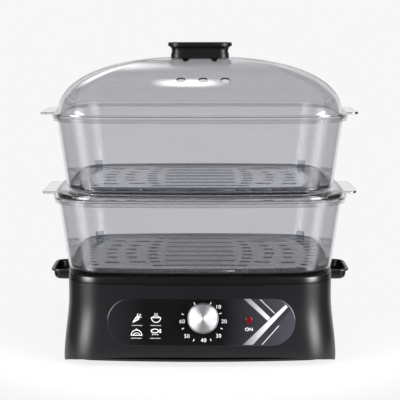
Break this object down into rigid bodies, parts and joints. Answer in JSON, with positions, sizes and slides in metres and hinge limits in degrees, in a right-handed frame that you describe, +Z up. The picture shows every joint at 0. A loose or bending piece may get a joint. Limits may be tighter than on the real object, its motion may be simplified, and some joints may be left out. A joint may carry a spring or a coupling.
{
  "type": "electric food steamer",
  "caption": "Two-tier electric food steamer: clear domed lid and nesting baskets on a dark base with a clockwork timer dial.",
  "frame": {"origin": "middle of the underside, on the surface that it stands on", "axes": "+Z up, -Y towards the front with the control panel, +X to the right seen from the front"},
  "size_m": [0.372, 0.24, 0.3675],
  "materials": {
    "clear_tinted": "clear moulded polycarbonate, light smoke tint",
    "clear_floor": "clear moulded polycarbonate, slotted",
    "gloss_black": "gloss black moulded plastic",
    "panel_black": "gloss panel, printed from behind",
    "knob_black": "satin black moulded plastic",
    "charcoal_satin": "satin charcoal moulded plastic",
    "tray_black": "black moulded polypropylene",
    "spun_aluminium": "spun face",
    "cast_aluminium": "die cast",
    "stainless": "brushed",
    "plated_steel": "zinc plated",
    "spring_steel": "rolled strip",
    "element_sheath": "annealed tube",
    "brass_contacts": "stamped",
    "red_lens": "clear red moulded",
    "lamp_glass": "glass capsule",
    "silicone": "silicone seal",
    "rubber_black": "moulded",
    "white_nylon": "moulded nylon",
    "black_phenolic": "moulded phenolic",
    "white_sleeve": "glass fibre sleeve",
    "brown_lead": "insulated wire",
    "blue_lead": "insulated wire"
  },
  "bodies": {
    "base": {"water_tank": "gloss_black", "control_panel": "panel_black", "housing": "charcoal_satin", "timer_case": "plated_steel", "timer_back": "plated_steel", "timer_mainspring": "spring_steel", "timer_bell": "plated_steel", "timer_contacts": "brass_contacts", "timer_screws": "plated_steel", "lamp_lens": "red_lens", "lamp_bulb": "lamp_glass", "lamp_clip": "spring_steel", "heater_plate": "cast_aluminium", "heater_seal": "silicone", "heater_clamp": "stainless", "heater_nuts": "plated_steel", "heating_element": "element_sheath", "boil_dry_thermostat": "black_phenolic", "thermostat_bracket": "spring_steel", "thermal_fuse": "white_sleeve", "base_plate": "tray_black", "rubber_feet": "rubber_black", "base_screws": "plated_steel", "tank_screws": "plated_steel", "cord_bush": "rubber_black", "cord_clamp": "white_nylon", "cord_clamp_screws": "plated_steel", "terminal_block": "white_nylon", "terminal_screws": "brass_contacts", "live_lead": "brown_lead", "switched_lead": "brown_lead", "fuse_lead": "white_sleeve", "element_lead": "brown_lead", "neutral_lead": "blue_lead", "lamp_lead": "blue_lead"},
    "timer_dial": {"timer_knob": "knob_black", "timer_knob_cap": "spun_aluminium", "timer_shaft": "stainless", "timer_cam": "white_nylon"},
    "tray": {"drip_tray": "tray_black"},
    "lower_tier": {"lower_basket": "clear_tinted"},
    "lower_floor": {"lower_grid": "clear_floor"},
    "upper_tier": {"upper_basket": "clear_tinted"},
    "upper_floor": {"upper_grid": "clear_floor"},
    "sleeve": {"steam_sleeve": "white_nylon"},
    "lid": {"lid": "clear_tinted", "lid_knob": "gloss_black", "lid_knob_washer": "stainless", "lid_knob_screw": "stainless"}
  },
  "joints": [
    {"name": "timer_turn", "type": "hinge", "parent": "base", "child": "timer_dial", "pos_m": [0.0034, -0.10779, 0.061], "axis": [-0.0027, 0.9964, -0.0849], "range_deg": [0, 263]},
    {"name": "sleeve_lift", "type": "slide", "parent": "base", "child": "sleeve", "axis": [0, 0, 1], "range_m": [0, 0.025]},
    {"name": "tray_lift", "type": "slide", "parent": "base", "child": "tray", "axis": [0, 0, 1], "range_m": [0, 0.04]},
    {"name": "lower_basket_lift", "type": "slide", "parent": "tray", "child": "lower_tier", "axis": [0, 0, 1], "range_m": [0, 0.05]},
    {"name": "lower_floor_lift", "type": "slide", "parent": "lower_tier", "child": "lower_floor", "axis": [0, 0, 1], "range_m": [0, 0.06]},
    {"name": "upper_basket_lift", "type": "slide", "parent": "lower_tier", "child": "upper_tier", "axis": [0, 0, 1], "range_m": [0, 0.06]},
    {"name": "upper_floor_lift", "type": "slide", "parent": "upper_tier", "child": "upper_floor", "axis": [0, 0, 1], "range_m": [0, 0.06]},
    {"name": "lid_lift", "type": "slide", "parent": "upper_tier", "child": "lid", "axis": [0, 0, 1], "range_m": [0, 0.1]}
  ]
}
